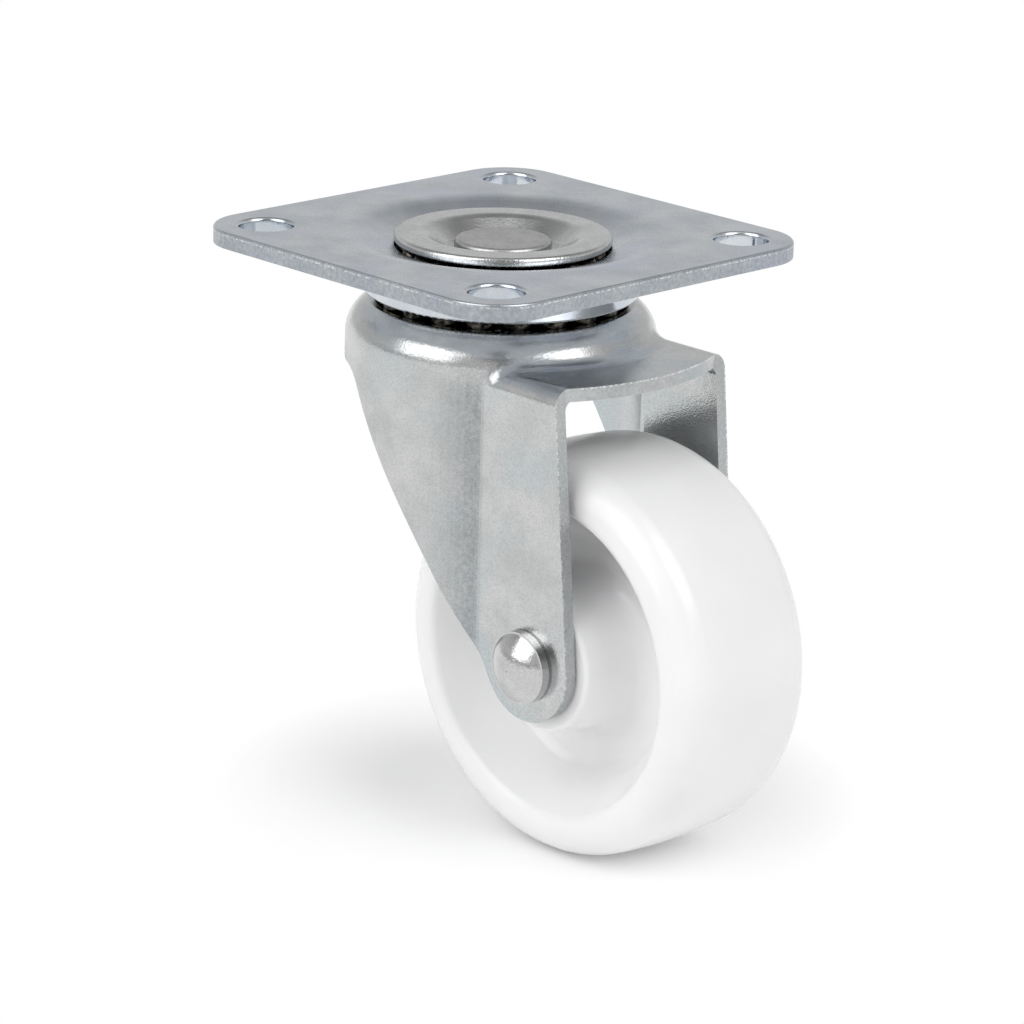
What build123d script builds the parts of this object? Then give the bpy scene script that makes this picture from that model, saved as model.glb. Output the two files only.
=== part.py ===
from build123d import *
import math
import os

# Swivel castor with a square bolt-on plate, a double ball race and a riveted axle.
# The frame's origin is where the swivel axis meets the plate's top face.
# +Z is up, +X is the way the axle trails, +Y runs along the axle, away from its domed head.
# Every length is in millimetres.

# Overall
trail = 20.0
wheel_d = 49.4
wheel_gap = 7.85
clearance = 0.05

# Top plate, blanked and pressed from one sheet
plate_sheet = 2.0
plate_corner_r = 7.0
plate_edge_r = 0.3
hole_pitch = 40.0
hole_margin = 6.5
hole_d = 6.5
hole_rim_r = 0.45
dish_slope = 16.0
dish_bend_r = 9.0
well_side_gap = 0.1
well_mouth_w = 0.1
well_mouth_r = 0.3
well_floor_bend_r = 0.6
drum_draft = 15.0
drum_bend_r = 1.0
plate_lip_r = 0.5
plate_bore_gap = 1.8

# Ball races
ball_gap = 0.1
lower_ball_d = 4.0
lower_groove_depth = 0.35
race_gap = 1.0
race_step = 2.1
race_wall = 0.98
upper_ball_d = 3.0
upper_groove_depth = 0.2

# Cap, a dished washer
cap_sheet = 1.2
cap_below_face = 0.1
cap_rim_gap = 0.35
cap_rim_w = 0.3
cap_rim_round = 0.5
cap_land = 0.25
cap_slope_w = 2.5
cap_crest_bend_r = 2.0
cap_dish_gap = 1.05
cap_dish_depth = 1.8
cap_dish_bend_r = 0.8

# Kingpin, a shouldered rivet on the swivel axis
kingpin_r = 4.0
kingpin_head_w = 1.85
kingpin_head_t = 1.1
kingpin_head_round = 0.5
kingpin_shoulder_w = 1.2
kingpin_foot_w = 1.8
kingpin_foot_t = 1.6
kingpin_foot_round = 0.95

# Fork, one pressed sheet: crown, shelf and two legs
fork_sheet = 1.6
fork_width = 28.0
crown_land = 0.65
crown_shoulder_w = 2.7
crown_shoulder_r = 4.6
crown_rise = 3.8
skirt_drop = 3.4
shelf_fillet_r = 2.5
shelf_fillet_under_r = 1.8
leg_bend_r = 2.2
leg_bend_under_r = 1.2
leg_knee_r = 4.0
leg_knee_x = -7.3
leg_hollow = 1.0
leg_hollow_r = 90.0
lug_r = 6.85

# Axle, a rivet with one domed and one formed head, and the tube that it clamps
axle_r = 3.0
axle_head_w = 1.36
axle_head_step = 0.25
axle_head_rim = 1.3
axle_head_dome = 1.6
axle_head_relief = 0.25
axle_foot_w = 1.3
axle_foot_t = 1.5
axle_foot_round = 0.9
sleeve_wall = 1.0

# Wheel, one moulding
hub_side_gap = 1.05
side_play = 0.75
hub_proud = 0.8
hub_wall = 4.35
hub_flare = 1.2
hub_edge_r = 0.6
tread_crown = 0.9
shoulder_r = 4.0
rim_flat = 0.6
recess_slope = 4.6
recess_lip_round = 1.4
web_t = 6.0
web_fillet_r = 2.5

# Places on the swivel axis, from the plate's face down
cap_under_z = -cap_below_face - cap_sheet
dish_low_z = cap_under_z - cap_rim_gap
cap_floor_z = -cap_below_face - cap_dish_depth
upper_groove_r = upper_ball_d / 2 + clearance
upper_ball_z = cap_under_z + upper_groove_depth - upper_groove_r
well_floor_z = upper_ball_z + upper_groove_depth - upper_groove_r
well_under_z = well_floor_z - plate_sheet
lower_groove_r = lower_ball_d / 2 + clearance
lower_ball_z = well_under_z + lower_groove_depth - lower_groove_r
plate_lip_z = lower_ball_z + race_gap / 2
crown_rim_z = lower_ball_z - race_gap / 2
crown_under_z = crown_rim_z - fork_sheet
shelf_z = crown_rim_z - crown_rise
shelf_under_z = shelf_z - fork_sheet
skirt_z = shelf_z - skirt_drop
axle_z = shelf_under_z - wheel_gap - wheel_d / 2

# Radii about the swivel axis, from the kingpin out
draft = math.tan(math.radians(drum_draft))
kingpin_shoulder_r = kingpin_r + kingpin_shoulder_w
kingpin_head_r = kingpin_r + kingpin_head_w
plate_bore_r = kingpin_shoulder_r + plate_bore_gap
cap_dish_r = kingpin_head_r + cap_dish_gap
cap_crest_r = cap_dish_r + cap_slope_w
upper_race_r = cap_crest_r + cap_land + upper_groove_r
cap_r = upper_race_r + upper_groove_r + cap_rim_w
well_floor_r = upper_race_r + upper_groove_r + well_side_gap
well_top_r = well_floor_r + well_mouth_w
dish_r = well_top_r - dish_low_z / math.tan(math.radians(dish_slope))
lower_race_r = upper_race_r + race_step
plate_lip_outer_r = lower_race_r + lower_groove_r + race_wall
drum_root_r = plate_lip_outer_r + (-plate_sheet - plate_lip_z) * draft
crown_rim_r = lower_race_r + lower_groove_r + crown_land
crown_r = crown_rim_r + crown_shoulder_w

# Places across the castor
plate_side = hole_pitch + 2 * hole_margin
leg_half = fork_width / 2
leg_inner = leg_half - fork_sheet
shelf_r = trail + lug_r
shelf_front_x = math.sqrt(shelf_r ** 2 - leg_inner ** 2)
sleeve_r = axle_r + sleeve_wall
hub_half = leg_inner - hub_side_gap
tread_half = hub_half - hub_proud
edge_r = wheel_d / 2 - tread_crown
recess_lip_r = edge_r - shoulder_r - rim_flat
recess_floor_r = recess_lip_r - recess_slope

# Tools that cut right through, and the gap below which two places are one
reach = 4 * shelf_r
same_place = 0.001


def turned(profile):
    """Turn a profile, drawn as radius and height, about the swivel axis."""
    return revolve(Plane.XZ * profile, Axis.Z)


def turned_on_axle(section):
    """Turn a section, drawn as radius and Y, about the axle."""
    return Pos(trail, 0, axle_z) * revolve(Plane.XY * section, Axis.Y)


def bent(points, bends):
    """A closed section from its corner points, with a bend radius on the listed corners."""
    section = make_face(Polyline(*points, close=True))
    for index, radius in bends:
        corner = section.vertices().sort_by_distance(Vector(*points[index]))[0]
        section = fillet(corner, radius)
    return section


def block(x_low, x_high, z_low, z_high):
    """A rectangle in radius and height, by its edges."""
    centre = Pos((x_low + x_high) / 2, (z_low + z_high) / 2)
    return centre * Rectangle(x_high - x_low, z_high - z_low)


def make_top_plate():
    """The bolt-on plate, with a shallow dish, the upper race in it and the lower race's drum below."""
    blend_r = dish_r + dish_bend_r * math.tan(math.radians(dish_slope) / 2)
    flat = extrude(RectangleRounded(plate_side, plate_side, plate_corner_r), -plate_sheet)
    flat = fillet(flat.edges().group_by(Axis.Z)[-1], plate_edge_r)
    for place in GridLocations(hole_pitch, hole_pitch, 2, 2):
        flat -= place * Cylinder(hole_d / 2, reach)
    rims = flat.edges().filter_by(GeomType.CIRCLE).group_by(Axis.Z)[-1]
    rims = rims.filter_by(lambda edge: abs(edge.radius - hole_d / 2) < same_place)
    flat = fillet(rims, hole_rim_r)
    flat -= Cylinder(blend_r + clearance, reach)
    section = bent(
        [
            (blend_r + clearance, 0),
            (dish_r, 0),
            (well_top_r, dish_low_z),
            (well_floor_r, well_floor_z),
            (plate_bore_r, well_floor_z),
            (plate_bore_r, well_under_z),
            (lower_race_r, well_under_z),
            (lower_race_r, plate_lip_z),
            (plate_lip_outer_r, plate_lip_z),
            (drum_root_r, -plate_sheet),
            (blend_r + clearance, -plate_sheet),
        ],
        [
            (1, dish_bend_r),
            (2, well_mouth_r),
            (3, well_floor_bend_r),
            (8, plate_lip_r),
            (9, drum_bend_r),
        ],
    )
    section -= Pos(lower_race_r, lower_ball_z) * Circle(lower_groove_r)
    section -= Pos(upper_race_r, upper_ball_z) * Circle(upper_groove_r)
    return flat + turned(section)


def make_top_cap():
    """The dished washer that holds the upper balls down."""
    top = -cap_below_face
    section = bent(
        [
            (kingpin_r, cap_floor_z),
            (cap_dish_r, cap_floor_z),
            (cap_crest_r, top),
            (cap_r, top),
            (cap_r, cap_under_z),
            (cap_crest_r, cap_under_z),
            (cap_dish_r, cap_floor_z - cap_sheet),
            (kingpin_r, cap_floor_z - cap_sheet),
        ],
        [
            (1, cap_dish_bend_r),
            (2, cap_crest_bend_r),
            (3, cap_rim_round),
            (4, cap_rim_round),
            (5, cap_crest_bend_r - cap_sheet),
            (6, cap_dish_bend_r + cap_sheet),
        ],
    )
    section -= Pos(upper_race_r, upper_ball_z) * Circle(upper_groove_r)
    return turned(section)


def make_kingpin():
    """The shouldered rivet that clamps the cap to the fork's crown."""
    head_top = cap_floor_z + kingpin_head_t
    shoulder_top = cap_floor_z - cap_sheet
    foot_r = kingpin_r + kingpin_foot_w
    foot_z = crown_under_z - kingpin_foot_t
    section = bent(
        [
            (0, head_top),
            (kingpin_head_r, head_top),
            (kingpin_head_r, cap_floor_z),
            (kingpin_r, cap_floor_z),
            (kingpin_r, shoulder_top),
            (kingpin_shoulder_r, shoulder_top),
            (kingpin_shoulder_r, crown_rim_z),
            (kingpin_r, crown_rim_z),
            (kingpin_r, crown_under_z),
            (foot_r, crown_under_z),
            (foot_r, foot_z),
            (0, foot_z),
        ],
        [(1, kingpin_head_round), (10, kingpin_foot_round)],
    )
    return turned(section)


def crown_body(wall_r, shoulder_radius, top_z, groove, floor_z):
    """A solid of the crown's form: domed shoulder, straight wall and ball groove."""
    centre_r = crown_r - crown_shoulder_r
    rise = math.sqrt(crown_shoulder_r ** 2 - (crown_rim_r - centre_r) ** 2)
    shoulder_z = crown_rim_z - rise
    shoulder = Pos(centre_r, shoulder_z) * Circle(shoulder_radius)
    section = shoulder & block(0, wall_r, shoulder_z - crown_shoulder_r, top_z)
    section += block(0, centre_r, floor_z, top_z)
    section += block(0, wall_r, floor_z, shoulder_z)
    section -= Pos(lower_race_r, lower_ball_z) * Circle(groove)
    return turned(section)


def channel_body(half_width, top_z, bend, floor_z):
    """A solid of the legs' form ahead of the crown: flat top, bent edges and flat sides."""
    profile = block(-half_width, half_width, floor_z, top_z)
    profile = fillet(profile.vertices().group_by(Axis.Y)[-1], bend)
    return extrude(Plane.YZ * profile, reach)


def press_form(crown, channel, radius, floor_z):
    """Join the crown's and the legs' forms with one fillet in the corner between them."""
    joined = crown + channel
    seams = joined.edges().filter_by(lambda edge: on_seam(edge, crown, channel, floor_z))
    return fillet(seams, radius)


def on_seam(edge, crown, channel, floor_z):
    """True for an edge where the two forms cross."""
    middle = edge.position_at(0.5)
    near_crown = any(face.distance_to(middle) < same_place for face in crown.faces())
    near_channel = any(face.distance_to(middle) < same_place for face in channel.faces())
    inside = middle.Z > floor_z + clearance and middle.X > clearance
    return near_crown and near_channel and inside


def leg_outline():
    """The legs' outline from the side, drawn as X and Z, reaching well above the crown."""
    lug = Vector(trail, axle_z)
    front_top = Vector(shelf_front_x, shelf_under_z)
    knee = Vector(leg_knee_x, skirt_z)
    straight = touch_point(knee, lug, -1) - knee
    waist = knee + straight / 2 + straight.normalized().rotate(Axis.Z, 90) * leg_hollow
    outline = Polyline(
        touch_point(waist, lug, -1),
        waist,
        knee,
        (-reach, skirt_z),
        (-reach, 0),
        (reach, 0),
        (reach, shelf_under_z),
        front_top,
        touch_point(front_top, lug, 1),
        close=True,
    )
    face = make_face(outline)
    for place, bend in ((knee, leg_knee_r), (waist, leg_hollow_r)):
        corner = face.vertices().sort_by_distance(place)[0]
        face = fillet(corner, bend)
    return face + Pos(trail, axle_z) * Circle(lug_r)


def touch_point(outside, lug, side):
    """Where a line from a point outside touches the lug's circle, on one side of it."""
    toward = outside - lug
    half_angle = math.degrees(math.acos(lug_r / toward.length))
    return lug + toward.normalized().rotate(Axis.Z, -side * half_angle) * lug_r


def shelf_outline():
    """The shelf's outline from above: an arc about the swivel axis between the legs."""
    arc = Circle(shelf_r) & Rectangle(2 * shelf_r, 2 * leg_inner)
    sides = Pos(shelf_front_x - shelf_r, 0) * Rectangle(2 * shelf_r, reach)
    return arc + sides


def make_fork():
    """One pressed sheet: race crown, shelf and two legs."""
    floor_z = axle_z - lug_r - fork_sheet
    outer = press_form(
        crown_body(crown_r, crown_shoulder_r, crown_rim_z, lower_groove_r, floor_z),
        channel_body(leg_half, shelf_z, leg_bend_r, floor_z),
        shelf_fillet_r,
        floor_z,
    )
    inner = press_form(
        crown_body(
            crown_r - fork_sheet,
            crown_shoulder_r - fork_sheet,
            crown_under_z,
            lower_groove_r + fork_sheet,
            floor_z,
        ),
        channel_body(leg_inner, shelf_under_z, leg_bend_under_r, floor_z),
        shelf_fillet_under_r,
        floor_z,
    )
    side = extrude(Plane.XZ * leg_outline(), reach, both=True)
    above = extrude(Plane.XY.offset(shelf_under_z) * shelf_outline(), -shelf_under_z)
    below = Pos(0, 0, shelf_under_z - reach / 2) * Box(2 * reach, 2 * reach, reach)
    fork = (outer - inner) & side & (above + below)
    fork -= Cylinder(kingpin_r, reach)
    fork -= Pos(trail, 0, axle_z) * Rot(90, 0, 0) * Cylinder(axle_r, reach)
    return fork


def make_axle():
    """The axle rivet: domed head, shank and a flatter head formed at the far end."""
    head_r = axle_r + axle_head_w
    foot_r = axle_r + axle_foot_w
    rim_y = -leg_half - axle_head_rim
    foot_y = leg_half + axle_foot_t
    section = bent(
        [
            (0, rim_y),
            (head_r, rim_y),
            (head_r, -leg_half - axle_head_relief),
            (head_r - axle_head_relief, -leg_half),
            (axle_r, -leg_half),
            (axle_r, leg_half),
            (foot_r, leg_half),
            (foot_r, foot_y),
            (0, foot_y),
        ],
        [(7, axle_foot_round)],
    )
    base_r = head_r - axle_head_step
    dome_r = (base_r ** 2 + axle_head_dome ** 2) / (2 * axle_head_dome)
    dome = Pos(0, rim_y - axle_head_dome + dome_r) * Circle(dome_r)
    dome &= block(0, base_r, rim_y - axle_head_dome, rim_y)
    return turned_on_axle(section + dome)


def make_axle_sleeve():
    """The tube between the legs, which the wheel turns on."""
    return turned_on_axle(block(axle_r, sleeve_r, -leg_inner, leg_inner))


def make_wheel():
    """One moulding: crowned tread, rounded shoulders, dished sides and a hub."""
    bore = sleeve_r + clearance
    hub_r = bore + hub_wall
    hub_root_r = hub_r + hub_flare
    web_room = recess_floor_r - hub_root_r
    web_bend = min(web_fillet_r, web_room / 2)
    side = [
        (bore, hub_half),
        (hub_r, hub_half),
        (hub_root_r, web_t / 2),
        (recess_floor_r, web_t / 2),
        (recess_lip_r, tread_half),
        (edge_r, tread_half),
    ]
    bends = [0, hub_edge_r, web_bend, web_bend, recess_lip_round, shoulder_r]
    other_side = [(radius, -y) for radius, y in reversed(side)]
    tread = ThreePointArc(side[-1], (wheel_d / 2, 0), other_side[0])
    walls = Polyline(*other_side, *side)
    section = make_face(Wire(walls.edges() + tread.edges()))
    for (radius, y), bend in zip(side[1:], bends[1:]):
        for corner_y in (y, -y):
            corner = section.vertices().sort_by_distance(Vector(radius, corner_y))[0]
            section = fillet(corner, bend)
    return Pos(0, -side_play, 0) * turned_on_axle(section)


def ball_ring(race_r, height, diameter):
    """The balls of one race, as many as fit, evenly spaced."""
    count = int(math.pi / math.asin((diameter + ball_gap) / (2 * race_r)))
    places = PolarLocations(race_r, count)
    return [Pos(0, 0, height) * place * Sphere(diameter / 2) for place in places]


parts = {
    "top_plate": make_top_plate(),
    "top_cap": make_top_cap(),
    "kingpin": make_kingpin(),
    "fork": make_fork(),
    "axle": make_axle(),
    "axle_sleeve": make_axle_sleeve(),
    "wheel": make_wheel(),
}
for index, ball in enumerate(ball_ring(lower_race_r, lower_ball_z, lower_ball_d), start=1):
    parts[f"lower_ball_{index:02d}"] = ball
for index, ball in enumerate(ball_ring(upper_race_r, upper_ball_z, upper_ball_d), start=1):
    parts[f"upper_ball_{index:02d}"] = ball

os.makedirs("parts", exist_ok=True)
for name, solid in parts.items():
    export_step(solid, f"parts/{name}.step")
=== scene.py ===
"""Swivel castor with a square plate: finishes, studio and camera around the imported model.

Lengths here are in millimetres until they meet Blender, which works in metres. Only the floor's
reach, the softboxes' sizes and distance, and the camera's clipping are written in metres.
"""
import bpy
import math
from mathutils import Matrix, Vector


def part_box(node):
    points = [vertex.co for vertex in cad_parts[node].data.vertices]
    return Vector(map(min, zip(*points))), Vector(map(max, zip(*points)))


MM = 0.001

# The photograph's view, as it was fitted to the plate and the wheel
IMAGE_PX = 1024
CAMERA_AZIMUTH = 46.03
CAMERA_ELEVATION = 17.57
CAMERA_ROLL = 1.457
CAMERA_DISTANCE = 515.06
CAMERA_RIGHT = 2.75
CAMERA_UP = 34.26
FOCAL_PX = 4147.2
SENSOR_WIDTH = 36.0
NEAREST_SEEN = 0.01
FARTHEST_SEEN = 200

# The floor's height, below the plate's face, for which that view was fitted
FITTED_FLOOR_Z = -71.0

# Outlines of the plate and the fork, for the finish of their cut edges. The shelf's front edge
# lies beyond SHELF_FRONT_X.
PLATE_SIZE = 53.0
PLATE_CORNER_R = 7.0
SHELF_Z = -12.0
SHELF_UNDER_Z = -13.6
SHELF_FRONT_X = 14.0
LEG_OUTER_Y = 14.0

# The painted highlight line on the plate's cut edge, measured down from its face
PLATE_LINE_TOP = -0.34
PLATE_LINE_BOTTOM = -0.46

# The same painted highlight line on the fork: across the shelf's top corner, and inside the legs' outer
# faces
SHELF_LINE_ABOVE = 0.2
SHELF_LINE_BELOW = 0.18
LEG_LINE_WIDTH = 0.22
LEG_LINE_FULL = 0.16

# Painted shade on the fork's curved wall below the crown: it starts at one height and is full at the
# other
PAINTED_SHADE_START_Z = -11.0
PAINTED_SHADE_FULL_Z = -15.0
CUT_EDGE_DULLNESS = 0.6

# Greys of the sheet's dark specks, of its cut faces (also painted shade on the fork's wall below the
# crown) and of the painted highlight line along the cut edges
SPECK_GREY = "#6C7072"
CUT_FACE_AND_SHADE_GREY = "#858B8E"
EDGE_HIGHLIGHT_GREY = "#DFE0E1"

# Half the floor's width, in metres
FLOOR_REACH = 30.0

# Where the castor's shadow lies on the floor: full out to the core, gone at the end
SHADOW_MIDDLE = (4.0, 4.0, FITTED_FLOOR_Z)
SHADOW_CORE_R = 19.0
SHADOW_END_R = 40.0

# What the white floor adds to the light that falls on it, as the camera and the metal see it
FLOOR_LIFT = 0.05

# Places round the castor, each a compass angle from +X and an elevation, in degrees
LEFT_SOFTBOX = (-102, 35)
RIGHT_SOFTBOX = (5, 47)
CAMERA_SIDE = (-44, 15)
GAP_BETWEEN_SOFTBOXES = (-38, 40)
SPOT_ABOVE_CAMERA = (-44, 73)

# Both softboxes face one point below the plate, and stand this many metres from it
SOFTBOX_AIM = (0.0, 0.0, -30.0)
SOFTBOX_DISTANCE = 1.6

# How bright the surroundings are low down and high up, where 1 is white
LOW_LIGHT = 0.67
HIGH_LIGHT = 0.58

# What is added to that overhead, at the back and on the camera's side
OVERHEAD_BACK = -0.28
OVERHEAD_FRONT = 0.75

# The share of the light that a dark spot leaves, and the share that the dark strip takes
SPOT_LEAVES = 0.25
STRIP_TAKES = 0.55

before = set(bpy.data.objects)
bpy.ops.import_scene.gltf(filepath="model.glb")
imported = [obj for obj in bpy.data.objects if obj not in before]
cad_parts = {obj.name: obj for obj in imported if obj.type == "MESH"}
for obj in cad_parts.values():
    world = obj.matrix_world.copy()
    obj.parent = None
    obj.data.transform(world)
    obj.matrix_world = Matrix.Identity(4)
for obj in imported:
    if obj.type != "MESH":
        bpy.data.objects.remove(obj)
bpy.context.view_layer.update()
floor_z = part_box("wheel")[0].z


def linear(hex_colour):
    """An sRGB hex colour as the linear values that shaders take."""
    channels = [int(hex_colour[i:i + 2], 16) / 255 for i in (1, 3, 5)]
    low = [c / 12.92 if c <= 0.04045 else ((c + 0.055) / 1.055) ** 2.4 for c in channels]
    return (*low, 1.0)


def add(tree, kind, inputs=None, **settings):
    """Add one node, set its properties, and set or link its inputs."""
    made = tree.nodes.new(kind)
    for name, value in settings.items():
        setattr(made, name, value)
    for name, value in (inputs or {}).items():
        if isinstance(value, bpy.types.NodeSocket):
            tree.links.new(value, made.inputs[name])
        else:
            made.inputs[name].default_value = value
    return made


def new_material(name):
    """An empty node material, its tree and the Object coordinates on it."""
    material = bpy.data.materials.new(name)
    material.use_nodes = True
    tree = material.node_tree
    tree.nodes.clear()
    place = add(tree, "ShaderNodeTexCoord").outputs["Object"]
    return material, tree, place


def speckle(tree, place, size_mm, detail=2.0, rough=0.5):
    """Noise whose features are about size_mm across. Most of it lies between 0.3 and 0.7."""
    inputs = {"Vector": place, "Scale": 1 / (size_mm * MM), "Detail": detail, "Roughness": rough}
    return add(tree, "ShaderNodeTexNoise", inputs).outputs["Fac"]


def remap(tree, value, low, high, to_low=0.0, to_high=1.0):
    """Stretch a value from one range to another, clamped at both ends."""
    inputs = {"Value": value, "From Min": low, "From Max": high, "To Min": to_low, "To Max": to_high}
    return add(tree, "ShaderNodeMapRange", inputs).outputs["Result"]


def maths(tree, operation, first, second=0.0):
    """One calculation on one or two values."""
    return add(tree, "ShaderNodeMath", {0: first, 1: second}, operation=operation).outputs[0]


def blend_colours(tree, factor, first, second):
    """Mix two colours, each a hex value or a socket."""
    inputs = {0: factor}
    for socket, colour in ((6, first), (7, second)):
        inputs[socket] = linear(colour) if isinstance(colour, str) else colour
    return add(tree, "ShaderNodeMix", data_type="RGBA", inputs=inputs).outputs[2]


def facing(tree):
    """The size of each part of the surface's own normal."""
    normal = add(tree, "ShaderNodeNewGeometry").outputs["True Normal"]
    normal = add(tree, "ShaderNodeVectorMath", {0: normal}, operation="ABSOLUTE").outputs["Vector"]
    return add(tree, "ShaderNodeSeparateXYZ", {"Vector": normal}).outputs


def band(tree, value, low_mm, high_mm):
    """One between two lengths, with edges a twentieth of a millimetre soft."""
    above = remap(tree, value, (low_mm - 0.05) * MM, low_mm * MM)
    below = remap(tree, value, high_mm * MM, (high_mm + 0.05) * MM, 1.0, 0.0)
    return maths(tree, "MULTIPLY", above, below)


def plate_edges(tree, place):
    """Masks for the plate: its cut edge, the broken painted highlight line on that, and the punched hole
    walls.

    The reach is the distance from the square on which the corner arcs have their centres. It
    equals the corner radius all along the plate's outline and is less inside it.
    """
    corner = PLATE_CORNER_R * MM
    centre = PLATE_SIZE / 2 * MM - corner
    reach = place
    for operation, other in (
        ("MULTIPLY", (1.0, 1.0, 0.0)),
        ("ABSOLUTE", (0.0, 0.0, 0.0)),
        ("SUBTRACT", (centre, centre, 0.0)),
        ("MAXIMUM", (0.0, 0.0, 0.0)),
    ):
        step = add(tree, "ShaderNodeVectorMath", {0: reach, 1: other}, operation=operation)
        reach = step.outputs["Vector"]
    reach = add(tree, "ShaderNodeVectorMath", {0: reach}, operation="LENGTH").outputs["Value"]
    cut = remap(tree, reach, corner - 0.08 * MM, corner - 0.04 * MM)
    height = add(tree, "ShaderNodeSeparateXYZ", {"Vector": place}).outputs["Z"]
    line = maths(tree, "MULTIPLY", cut, band(tree, height, PLATE_LINE_BOTTOM, PLATE_LINE_TOP))
    steep = remap(tree, facing(tree)["Z"], 0.7, 0.5)
    inside = remap(tree, reach, corner - 0.5 * MM, corner - 0.4 * MM, 1.0, 0.0)
    return cut, line, maths(tree, "MULTIPLY", steep, inside)


def fork_edges(tree, place):
    """Masks for the fork: its duller cut faces with painted shade, the painted highlight line on its cut
    edges, and no hole walls.

    The duller faces are the cut edges of legs and shelf, and the curved wall below the crown, which the
    photograph shows as a darker band. The curved wall below the crown is painted darker with them, as
    painted shade. Whether that band is wear isn't known.
    """
    at = add(tree, "ShaderNodeSeparateXYZ", {"Vector": place}).outputs
    normal = facing(tree)
    not_sideways = remap(tree, normal["Y"], 0.5, 0.35)
    upright = remap(tree, normal["Z"], 0.5, 0.35)
    leg = remap(tree, at["Z"], SHELF_UNDER_Z * MM, (SHELF_UNDER_Z - 0.2) * MM)
    shelf = remap(tree, at["X"], SHELF_FRONT_X * MM, (SHELF_FRONT_X + 0.5) * MM)
    shelf = maths(tree, "MULTIPLY", shelf, upright)
    cut = maths(tree, "MULTIPLY", not_sideways, maths(tree, "MAXIMUM", leg, shelf))
    aside = maths(tree, "ABSOLUTE", at["Y"])
    leg_line = remap(
        tree, aside, (LEG_OUTER_Y - LEG_LINE_WIDTH) * MM, (LEG_OUTER_Y - LEG_LINE_FULL) * MM
    )
    shelf_line = band(tree, at["Z"], SHELF_Z - SHELF_LINE_BELOW, SHELF_Z + SHELF_LINE_ABOVE)
    line = maths(tree, "MULTIPLY", cut, maths(tree, "MAXIMUM", leg_line, shelf_line))
    # The curved wall below the crown, painted darker as painted shade
    turned = remap(tree, normal["Y"], 0.95, 0.8)
    curved = maths(tree, "MULTIPLY", turned, maths(tree, "SUBTRACT", 1.0, not_sideways))
    below = remap(tree, at["Z"], PAINTED_SHADE_START_Z * MM, PAINTED_SHADE_FULL_Z * MM)
    wall = maths(tree, "MULTIPLY", curved, below)
    dull_cut_and_painted_shade = maths(tree, "MAXIMUM", maths(tree, "MULTIPLY", cut, CUT_EDGE_DULLNESS), wall)
    return dull_cut_and_painted_shade, line, 0.0


def zinc_plated(name, pale, deep, patch, patch_mm, rough, grain_mm, grain_um, specks, edge=None):
    """Bright zinc plating on pressed steel: a metal with cloudy passivation and a fine grain.

    The eye sees a satin grey metal whose tint drifts from neutral to bluish in soft patches,
    and whose highlights break up into specks at their ends, because the sheet's skin shows
    through the plating. The real grain is finer: it is drawn as coarse as it needs to show.
    Where the sheet was sheared, the cut face is duller and mottled under a painted highlight line; on
    the fork, painted shade darkens the wall below the crown.
    """
    material, tree, place = new_material(name)
    clouds = remap(tree, speckle(tree, place, patch_mm, 4.0, 0.6), 0.38, 0.62)
    tint = blend_colours(tree, clouds, pale, deep)
    film = remap(tree, speckle(tree, place, 1.7 * patch_mm, 3.0), 0.5, 0.66)
    tint = blend_colours(tree, film, tint, patch)
    fine = speckle(tree, place, grain_mm, 2.0, 0.6)
    dark = maths(tree, "MULTIPLY", remap(tree, fine, 0.45, 0.62), specks)
    tint = blend_colours(tree, dark, tint, SPECK_GREY)
    roughness = remap(tree, fine, 0.3, 0.7, rough - 0.05, rough + 0.08)
    if edge is not None:
        cut, line, hole_wall = edge(tree, place)
        mottle = remap(tree, speckle(tree, place, 0.5, 3.0, 0.6), 0.35, 0.65, 0.35, 0.68)
        # The cut faces' duller grey, which on the fork also paints shade on the wall below the crown
        tint = blend_colours(tree, maths(tree, "MULTIPLY", cut, mottle), tint, CUT_FACE_AND_SHADE_GREY)
        # A broken lighter line along the cut edges: a painted highlight of the edge's rounded roll-over
        broken = remap(tree, speckle(tree, place, 0.35, 2.0), 0.48, 0.6)
        tint = blend_colours(tree, maths(tree, "MULTIPLY", line, broken), tint, EDGE_HIGHLIGHT_GREY)
        roughness = maths(tree, "ADD", roughness, maths(tree, "MULTIPLY", cut, 0.12))
        roughness = maths(tree, "MULTIPLY", roughness, remap(tree, hole_wall, 0.0, 1.0, 1.0, 0.5))
    # The grain, and with it waves seven times as long and about a third as high
    wave = speckle(tree, place, 7 * grain_mm, 2.0, 0.5)
    grain = add(
        tree, "ShaderNodeBump",
        {"Height": fine, "Distance": grain_um * 1e-6, "Strength": 1.0},
    ).outputs["Normal"]
    grain = add(
        tree, "ShaderNodeBump",
        {"Height": wave, "Distance": 0.35 * grain_um * 1e-6, "Strength": 1.0, "Normal": grain},
    ).outputs["Normal"]
    shader = add(
        tree, "ShaderNodeBsdfPrincipled",
        {"Base Color": tint, "Metallic": 1.0, "Roughness": roughness, "Normal": grain},
    )
    add(tree, "ShaderNodeOutputMaterial", {"Surface": shader.outputs["BSDF"]})
    return material


def greased_and_shaded_ball_steel():
    """Hardened bearing steel under brown grease, painted darker still as painted shade of the race gap
    it sits in: dark, with sharp glints.
    """
    material, tree, place = new_material("greased_bearing_steel_with_painted_shade")
    smear = remap(tree, speckle(tree, place, 0.8, 3.0), 0.4, 0.6)
    # Near-black tint: brown grease, and painted shade of the narrow race gap
    tint = blend_colours(tree, smear, "#55514A", "#131210")
    roughness = remap(tree, smear, 0.0, 1.0, 0.14, 0.45)
    shader = add(
        tree, "ShaderNodeBsdfPrincipled",
        {"Base Color": tint, "Metallic": 1.0, "Roughness": roughness},
    )
    add(tree, "ShaderNodeOutputMaterial", {"Surface": shader.outputs["BSDF"]})
    return material


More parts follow.
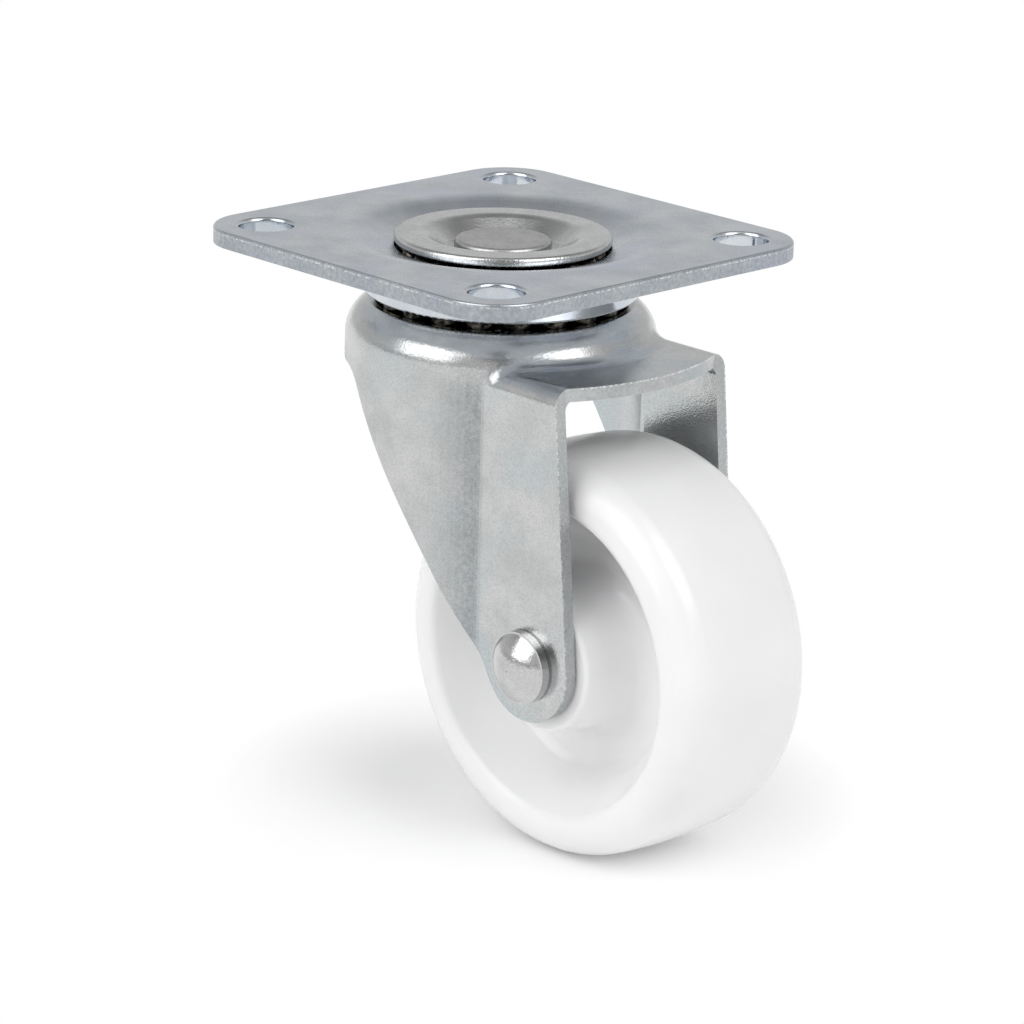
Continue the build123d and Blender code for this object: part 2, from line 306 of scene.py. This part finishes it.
def white_polyamide():
    """Moulded white polyamide: smooth, slightly waxy and a little translucent at its edges."""
    material, tree, place = new_material("moulded_white_polyamide")
    drift = remap(tree, speckle(tree, place, 11.0, 2.0), 0.3, 0.7)
    tint = blend_colours(tree, drift, "#F1F1F1", "#EDEDEE")
    peel = speckle(tree, place, 0.9, 2.0)
    normal = add(
        tree, "ShaderNodeBump", {"Height": peel, "Distance": 3e-6, "Strength": 1.0}
    ).outputs["Normal"]
    roughness = remap(tree, peel, 0.3, 0.7, 0.2, 0.26)
    shader = add(
        tree, "ShaderNodeBsdfPrincipled",
        {
            "Base Color": tint,
            "Roughness": roughness,
            "IOR": 1.53,
            "Subsurface Weight": 0.3,
            "Subsurface Radius": (1.0, 1.0, 1.0),
            "Subsurface Scale": 3 * MM,
            "Normal": normal,
        },
    )
    add(tree, "ShaderNodeOutputMaterial", {"Surface": shader.outputs["BSDF"]})
    return material


def finish_nodes():
    """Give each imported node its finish. Nodes that aren't named here are balls."""
    finishes = {
        "top_plate": zinc_plated(
            "passivated_zinc_plate", pale="#D6DBDF", deep="#C1C8CF", patch="#C9CEDC", patch_mm=7.0,
            rough=0.24, grain_mm=0.3, grain_um=6, specks=0.04, edge=plate_edges),
        "fork": zinc_plated(
            "drawn_zinc_fork", pale="#CFCFCF", deep="#C0C2C2", patch="#C1C8CA", patch_mm=6.0,
            rough=0.15, grain_mm=0.22, grain_um=22, specks=0.16, edge=fork_edges),
        "top_cap": zinc_plated(
            "zinc_pressed_cap", pale="#D4D5D5", deep="#C4C5C5", patch="#D0D0D0", patch_mm=3.0,
            rough=0.17, grain_mm=0.3, grain_um=30, specks=0.12),
        "kingpin": zinc_plated(
            "matt_zinc_kingpin", pale="#C6C6C6", deep="#B6B6B6", patch="#BEBEBE", patch_mm=2.0,
            rough=0.33, grain_mm=0.25, grain_um=22, specks=0.12),
        "axle": zinc_plated(
            "tumbled_zinc_axle", pale="#CFCFCF", deep="#C2C2C2", patch="#CACACA", patch_mm=3.0,
            rough=0.11, grain_mm=0.25, grain_um=20, specks=0.1),
        "axle_sleeve": zinc_plated(
            "turned_steel_sleeve", pale="#B9BABB", deep="#ACADAE", patch="#B3B4B5", patch_mm=3.0,
            rough=0.3, grain_mm=0.2, grain_um=8, specks=0.1),
        "wheel": white_polyamide(),
    }
    ball = greased_and_shaded_ball_steel()
    for name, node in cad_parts.items():
        node.material_slots[0].material = finishes.get(name, ball)


def make_floor():
    """The plain pale floor, wide enough to fill every view.

    To the camera and in the metal it is white away from the castor, and it keeps the shadow
    near it. From below it is clear, so that the castor's underside can be looked at.
    """
    signs = ((-1, -1), (1, -1), (1, 1), (-1, 1))
    corners = [(x * FLOOR_REACH, y * FLOOR_REACH, floor_z) for x, y in signs]
    mesh = bpy.data.meshes.new("floor")
    mesh.from_pydata(corners, [], [(0, 1, 2, 3)])
    floor = bpy.data.objects.new("floor", mesh)
    bpy.context.scene.collection.objects.link(floor)
    material, tree, place = new_material("pale_floor")
    paper = add(tree, "ShaderNodeBsdfDiffuse", {"Color": linear("#FBFBFB")}).outputs["BSDF"]
    ray = add(tree, "ShaderNodeLightPath").outputs
    seen = maths(tree, "MAXIMUM", ray["Is Camera Ray"], ray["Is Glossy Ray"])
    seen = maths(tree, "MAXIMUM", seen, ray["Is Transmission Ray"])
    lift = add(tree, "ShaderNodeEmission", {"Strength": FLOOR_LIFT}).outputs["Emission"]
    lifted = add(tree, "ShaderNodeAddShader", {0: paper, 1: lift}).outputs["Shader"]
    white = add(tree, "ShaderNodeEmission", {"Strength": 1.0}).outputs["Emission"]
    away = add(
        tree, "ShaderNodeVectorMath", {0: place, 1: Vector(SHADOW_MIDDLE) * MM}, operation="DISTANCE"
    ).outputs["Value"]
    away = remap(tree, away, SHADOW_CORE_R * MM, SHADOW_END_R * MM)
    backdrop = add(tree, "ShaderNodeMixShader", {0: away, 1: lifted, 2: white}).outputs["Shader"]
    surface = add(tree, "ShaderNodeMixShader", {0: seen, 1: paper, 2: backdrop}).outputs["Shader"]
    clear = add(tree, "ShaderNodeBsdfTransparent").outputs["BSDF"]
    behind = add(tree, "ShaderNodeNewGeometry").outputs["Backfacing"]
    surface = add(tree, "ShaderNodeMixShader", {0: behind, 1: surface, 2: clear}).outputs["Shader"]
    add(tree, "ShaderNodeOutputMaterial", {"Surface": surface})
    mesh.materials.append(material)


def direction(azimuth, elevation):
    """A unit vector from a compass angle about +Z, counted from +X, and an elevation."""
    a = math.radians(azimuth)
    e = math.radians(elevation)
    return Vector((math.cos(a) * math.cos(e), math.sin(a) * math.cos(e), math.sin(e)))


def nearness(tree, ray, place):
    """The cosine of the angle between a ray and the direction of a place round the castor."""
    inputs = {0: ray, 1: direction(*place)}
    return add(tree, "ShaderNodeVectorMath", inputs, operation="DOT_PRODUCT").outputs["Value"]


def softbox(name, place, width, height, radiance):
    """A rectangular soft light that faces the castor, set by how bright its face looks."""
    lamp = bpy.data.lights.new(name, "AREA")
    lamp.shape = "RECTANGLE"
    lamp.size = width
    lamp.size_y = height
    lamp.energy = radiance * math.pi * width * height
    light = bpy.data.objects.new(name, lamp)
    towards = direction(*place)
    stand = Vector(SOFTBOX_AIM) * MM + towards * SOFTBOX_DISTANCE
    light.matrix_world = Matrix.Translation(stand) @ towards.to_track_quat("Z", "Y").to_matrix().to_4x4()
    bpy.context.scene.collection.objects.link(light)


def make_studio():
    """Grey surroundings and two softboxes.

    Overhead it is brighter on the camera's side and dimmer at the back. Three dark places break
    up what the metal mirrors.
    """
    world = bpy.data.worlds.new("studio")
    bpy.context.scene.world = world
    world.use_nodes = True
    tree = world.node_tree
    tree.nodes.clear()
    ray = add(tree, "ShaderNodeTexCoord").outputs["Generated"]
    parts = add(tree, "ShaderNodeSeparateXYZ", {"Vector": ray}).outputs
    strength = remap(tree, parts["Z"], 0.15, 0.5, LOW_LIGHT, HIGH_LIGHT)
    # The light overhead, from the back to the camera's side
    overhead = remap(tree, parts["Z"], 0.4, 0.75)
    front = nearness(tree, ray, CAMERA_SIDE)
    front = remap(tree, front, 0.0, 0.5, OVERHEAD_BACK, OVERHEAD_FRONT)
    tilt = maths(tree, "MULTIPLY", overhead, front)
    strength = maths(tree, "ADD", strength, tilt)
    # A small dark spot above the camera, and a wider one between the softboxes
    for place, rim, full in (
        (SPOT_ABOVE_CAMERA, 0.965, 0.985),
        (GAP_BETWEEN_SOFTBOXES, 0.88, 0.96),
    ):
        spot = remap(tree, nearness(tree, ray, place), rim, full, 1.0, SPOT_LEAVES)
        strength = maths(tree, "MULTIPLY", strength, spot)
    # A dark strip above the floor's edge, under the left softbox
    strip = remap(tree, parts["Z"], 0.05, 0.1, STRIP_TAKES, 0.0)
    strip = maths(tree, "MULTIPLY", strip, remap(tree, parts["Y"], -0.3, -0.7))
    strength = maths(tree, "MULTIPLY", strength, maths(tree, "SUBTRACT", 1.0, strip))
    background = add(tree, "ShaderNodeBackground", {"Color": linear("#FFFFFF"), "Strength": strength})
    add(tree, "ShaderNodeOutputWorld", {"Surface": background.outputs["Background"]})
    softbox("left_softbox", LEFT_SOFTBOX, width=1.3, height=1.6, radiance=1.5)
    softbox("right_softbox", RIGHT_SOFTBOX, width=1.0, height=1.15, radiance=2.05)


def make_camera():
    """The camera, where the fit to the photograph put it."""
    azimuth = math.radians(CAMERA_AZIMUTH)
    elevation = math.radians(CAMERA_ELEVATION)
    roll = math.radians(CAMERA_ROLL)
    back = Vector((
        math.sin(azimuth) * math.cos(elevation),
        -math.cos(azimuth) * math.cos(elevation),
        math.sin(elevation),
    ))
    level = Vector((math.cos(azimuth), math.sin(azimuth), 0))
    upright = back.cross(level).normalized()
    right = level * math.cos(roll) + upright * math.sin(roll)
    up = upright * math.cos(roll) - level * math.sin(roll)
    place = back * CAMERA_DISTANCE + right * CAMERA_RIGHT + up * CAMERA_UP
    place = (place + Vector((0, 0, FITTED_FLOOR_Z))) * MM
    lens = bpy.data.cameras.new("camera")
    lens.sensor_width = SENSOR_WIDTH
    lens.lens = SENSOR_WIDTH * FOCAL_PX / IMAGE_PX
    lens.clip_start = NEAREST_SEEN
    lens.clip_end = FARTHEST_SEEN
    camera = bpy.data.objects.new("camera", lens)
    turn = Matrix((right, up, back)).transposed().to_4x4()
    camera.matrix_world = Matrix.Translation(place) @ turn
    bpy.context.scene.collection.objects.link(camera)
    bpy.context.scene.camera = camera


make_camera()
make_floor()
make_studio()
finish_nodes()
bpy.context.scene.view_settings.view_transform = "Standard"
